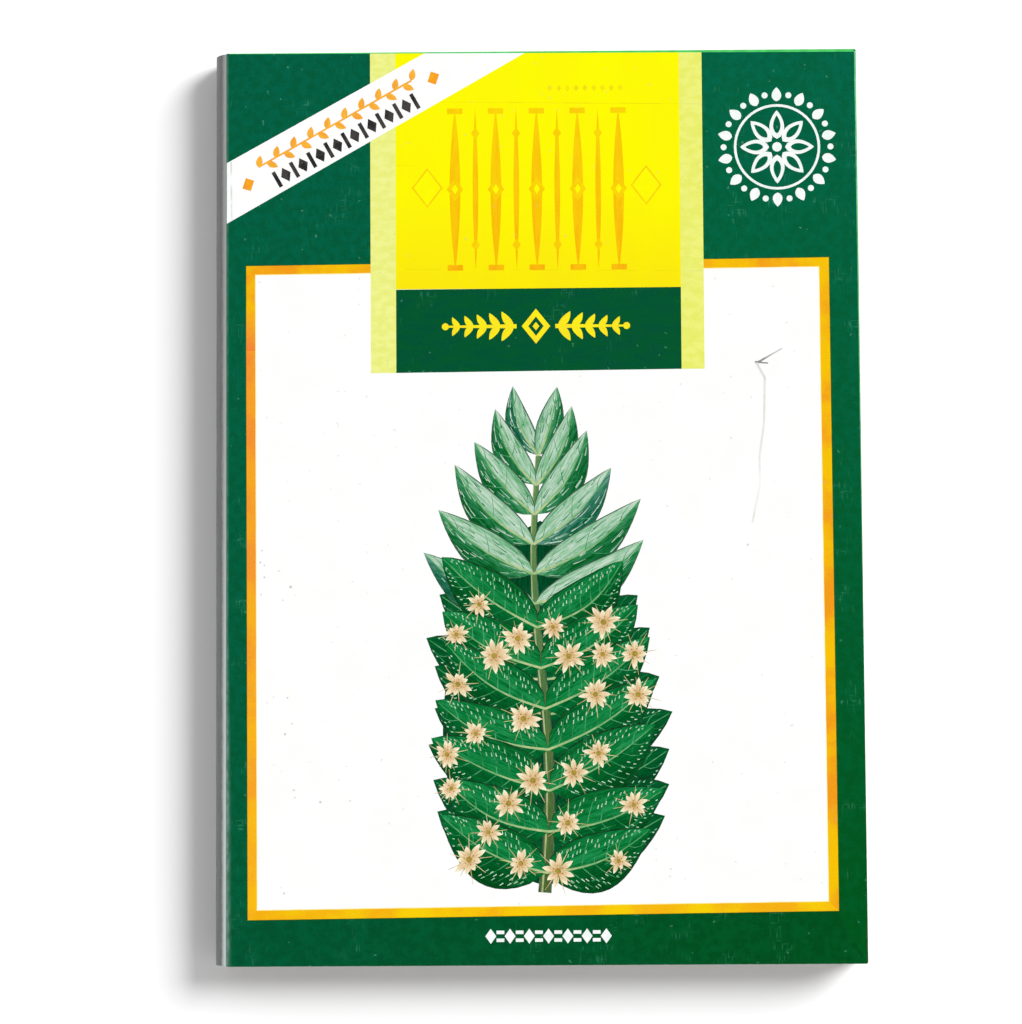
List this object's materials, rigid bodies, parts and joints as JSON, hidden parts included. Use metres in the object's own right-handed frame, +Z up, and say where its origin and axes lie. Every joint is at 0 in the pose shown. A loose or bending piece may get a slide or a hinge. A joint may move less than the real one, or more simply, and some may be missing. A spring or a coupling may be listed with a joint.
{
  "type": "paperback booklet",
  "caption": "Thin pocket paperback booklet lying shut, with card covers, folded sections of leaves and a rounded grey spine strip; it opens at either cover and in the middle.",
  "frame": {"origin": "on the table under the middle of the shut booklet's outer box", "axes": "+X from the spine to the fore edge, +Y from the tail to the head, +Z up from the back cover through the leaves to the front cover"},
  "size_m": [0.1132, 0.16, 0.007],
  "materials": {
    "front_cover_print": "satin",
    "back_cover_print": "satin",
    "spine_card": "matte",
    "leaf_paper": "matte"
  },
  "bodies": {
    "rear_half": {"section_4": "leaf_paper", "section_5": "leaf_paper", "section_6": "leaf_paper", "spine_back": "spine_card"},
    "front_half": {"section_1": "leaf_paper", "section_2": "leaf_paper", "section_3": "leaf_paper", "spine_front": "spine_card"},
    "front_cover": {"front_cover": "front_cover_print"},
    "back_cover": {"back_cover": "back_cover_print"}
  },
  "joints": [
    {"name": "open_in_middle", "type": "hinge", "parent": "rear_half", "child": "front_half", "pos_m": [-0.05675, 0, 0.0035], "axis": [0, -1, 0], "range_deg": [0, 179]},
    {"name": "open_front_cover", "type": "hinge", "parent": "front_half", "child": "front_cover", "pos_m": [-0.0544, 0, 0.0074], "axis": [0, -1, 0], "range_deg": [0, 179]},
    {"name": "open_back_cover", "type": "hinge", "parent": "rear_half", "child": "back_cover", "pos_m": [-0.0544, 0, -0.0001], "axis": [0, 1, 0], "range_deg": [0, 179]}
  ]
}
